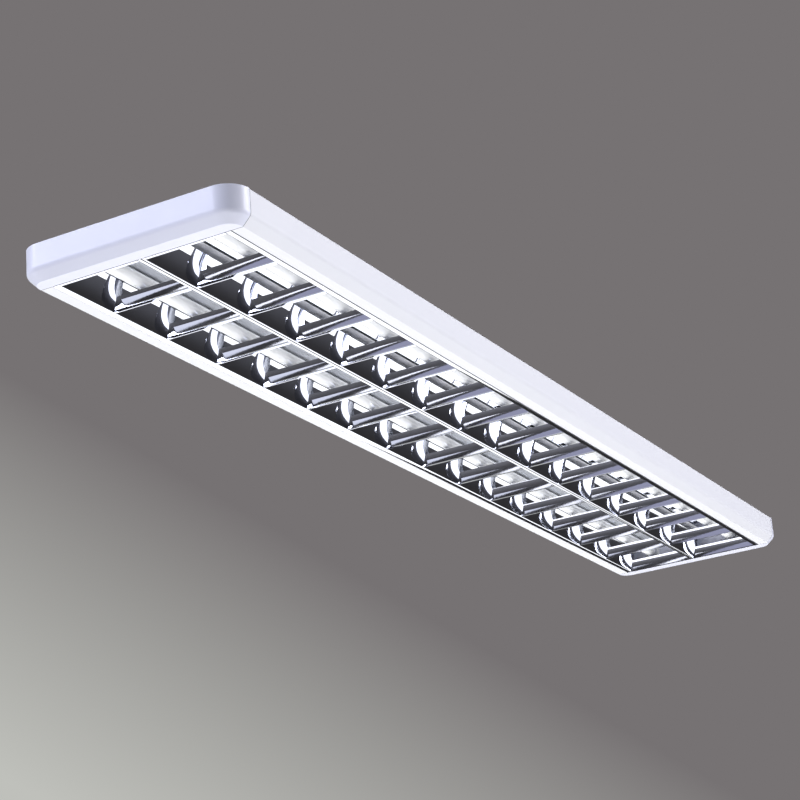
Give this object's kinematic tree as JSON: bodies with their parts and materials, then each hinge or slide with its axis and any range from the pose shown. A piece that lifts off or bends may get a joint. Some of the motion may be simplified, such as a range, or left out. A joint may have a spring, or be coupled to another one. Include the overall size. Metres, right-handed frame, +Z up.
{
  "type": "surface mount louvre light",
  "caption": "Slim rectangular ceiling light with two rows of mirror louvre cells under twin tube lamps, moulded end caps and a louvre that hinges down for relamping.",
  "frame": {"origin": "centre of the back face, which lies on the ceiling, midway between the two fixing slots", "axes": "+X along the light, +Y across it, +Z up into the ceiling; the light hangs below the origin"},
  "size_m": [1.492, 0.263, 0.038],
  "materials": {
    "ballast_steel": "galvanised sheet",
    "blade_mirror": "bright anodised aluminium, rolled",
    "brass": "plated screw",
    "cap_aluminium": "drawn",
    "cap_plastic": "moulded, satin white",
    "circuit_board": "green board",
    "clamp_plastic": "moulded white",
    "component_case": "dark component cases",
    "holder_plastic": "moulded white",
    "lamp_glass": "white coated glass",
    "painted_bracket": "white powder coat, satin",
    "painted_steel": "white powder coat, satin",
    "reflector_mirror": "specular anodised aluminium",
    "rotor_plastic": "moulded black",
    "rubber": "black rubber",
    "spring_steel": "spring steel",
    "terminal_plastic": "moulded white",
    "wire_lamp": "insulated wire",
    "wire_mains": "insulated wire",
    "zinc_steel": "zinc plated"
  },
  "bodies": {
    "body": {"ballast_base": "ballast_steel", "ballast_board": "circuit_board", "ballast_components": "component_case", "ballast_lid": "ballast_steel", "ballast_terminals": "terminal_plastic", "body_tray": "painted_steel", "cable_clamp": "clamp_plastic", "cable_clamp_screws": "zinc_steel", "cable_grommet": "rubber", "catch_springs": "spring_steel", "earth_tag": "zinc_steel", "end_cap_left": "cap_plastic", "end_cap_right": "cap_plastic", "end_cap_screws": "zinc_steel", "fixing_nuts": "zinc_steel", "hinge_tabs": "zinc_steel", "holder_bracket_left": "painted_bracket", "holder_bracket_right": "painted_bracket", "lamp_wires": "wire_lamp", "lampholder_far_left": "holder_plastic", "lampholder_far_right": "holder_plastic", "lampholder_near_left": "holder_plastic", "lampholder_near_right": "holder_plastic", "mains_wires": "wire_mains", "terminal_block": "terminal_plastic", "terminal_screws": "brass", "top_mirror_far": "reflector_mirror", "top_mirror_near": "reflector_mirror"},
    "louvre": {"catch_tongues": "zinc_steel", "cross_blade_01": "blade_mirror", "cross_blade_02": "blade_mirror", "cross_blade_03": "blade_mirror", "cross_blade_04": "blade_mirror", "cross_blade_05": "blade_mirror", "cross_blade_06": "blade_mirror", "cross_blade_07": "blade_mirror", "cross_blade_08": "blade_mirror", "cross_blade_09": "blade_mirror", "cross_blade_10": "blade_mirror", "cross_blade_11": "blade_mirror", "cross_blade_12": "blade_mirror", "cross_blade_13": "blade_mirror", "cross_blade_14": "blade_mirror", "hinge_ears": "zinc_steel", "hinge_pins": "zinc_steel", "louvre_end_left": "blade_mirror", "louvre_end_right": "blade_mirror", "side_reflector_far": "reflector_mirror", "side_reflector_near": "reflector_mirror", "spine_joiner": "zinc_steel", "spine_reflector_far": "reflector_mirror", "spine_reflector_near": "reflector_mirror"},
    "lamp_near": {"lamp_tube_near": "lamp_glass", "lamp_caps_near": "cap_aluminium"},
    "lamp_far": {"lamp_tube_far": "lamp_glass", "lamp_caps_far": "cap_aluminium"},
    "rotor_near_left": {"rotor_near_left": "rotor_plastic"},
    "rotor_near_right": {"rotor_near_right": "rotor_plastic"},
    "rotor_far_left": {"rotor_far_left": "rotor_plastic"},
    "rotor_far_right": {"rotor_far_right": "rotor_plastic"}
  },
  "joints": [
    {"name": "louvre_hinge", "type": "hinge", "parent": "body", "child": "louvre", "pos_m": [0, 0.105, -0.0367], "axis": [1, 0, 0], "range_deg": [0, 90]},
    {"name": "lamp_near_turn", "type": "hinge", "parent": "body", "child": "lamp_near", "pos_m": [0, -0.065, -0.012], "axis": [1, 0, 0], "range_deg": [0, 90]},
    {"name": "rotor_near_left_turn", "type": "hinge", "parent": "body", "child": "rotor_near_left", "pos_m": [-0.729, -0.065, -0.012], "axis": [1, 0, 0], "range_deg": [0, 90]},
    {"name": "rotor_near_right_turn", "type": "hinge", "parent": "body", "child": "rotor_near_right", "pos_m": [0.729, -0.065, -0.012], "axis": [1, 0, 0], "range_deg": [0, 90]},
    {"name": "lamp_far_turn", "type": "hinge", "parent": "body", "child": "lamp_far", "pos_m": [0, 0.065, -0.012], "axis": [1, 0, 0], "range_deg": [0, 90]},
    {"name": "rotor_far_left_turn", "type": "hinge", "parent": "body", "child": "rotor_far_left", "pos_m": [-0.729, 0.065, -0.012], "axis": [1, 0, 0], "range_deg": [0, 90]},
    {"name": "rotor_far_right_turn", "type": "hinge", "parent": "body", "child": "rotor_far_right", "pos_m": [0.729, 0.065, -0.012], "axis": [1, 0, 0], "range_deg": [0, 90]}
  ],
  "couplings": [
    {"joint": "rotor_near_left_turn", "follows": "lamp_near_turn", "ratio": 1},
    {"joint": "rotor_near_right_turn", "follows": "lamp_near_turn", "ratio": 1},
    {"joint": "rotor_far_left_turn", "follows": "lamp_far_turn", "ratio": 1},
    {"joint": "rotor_far_right_turn", "follows": "lamp_far_turn", "ratio": 1}
  ]
}
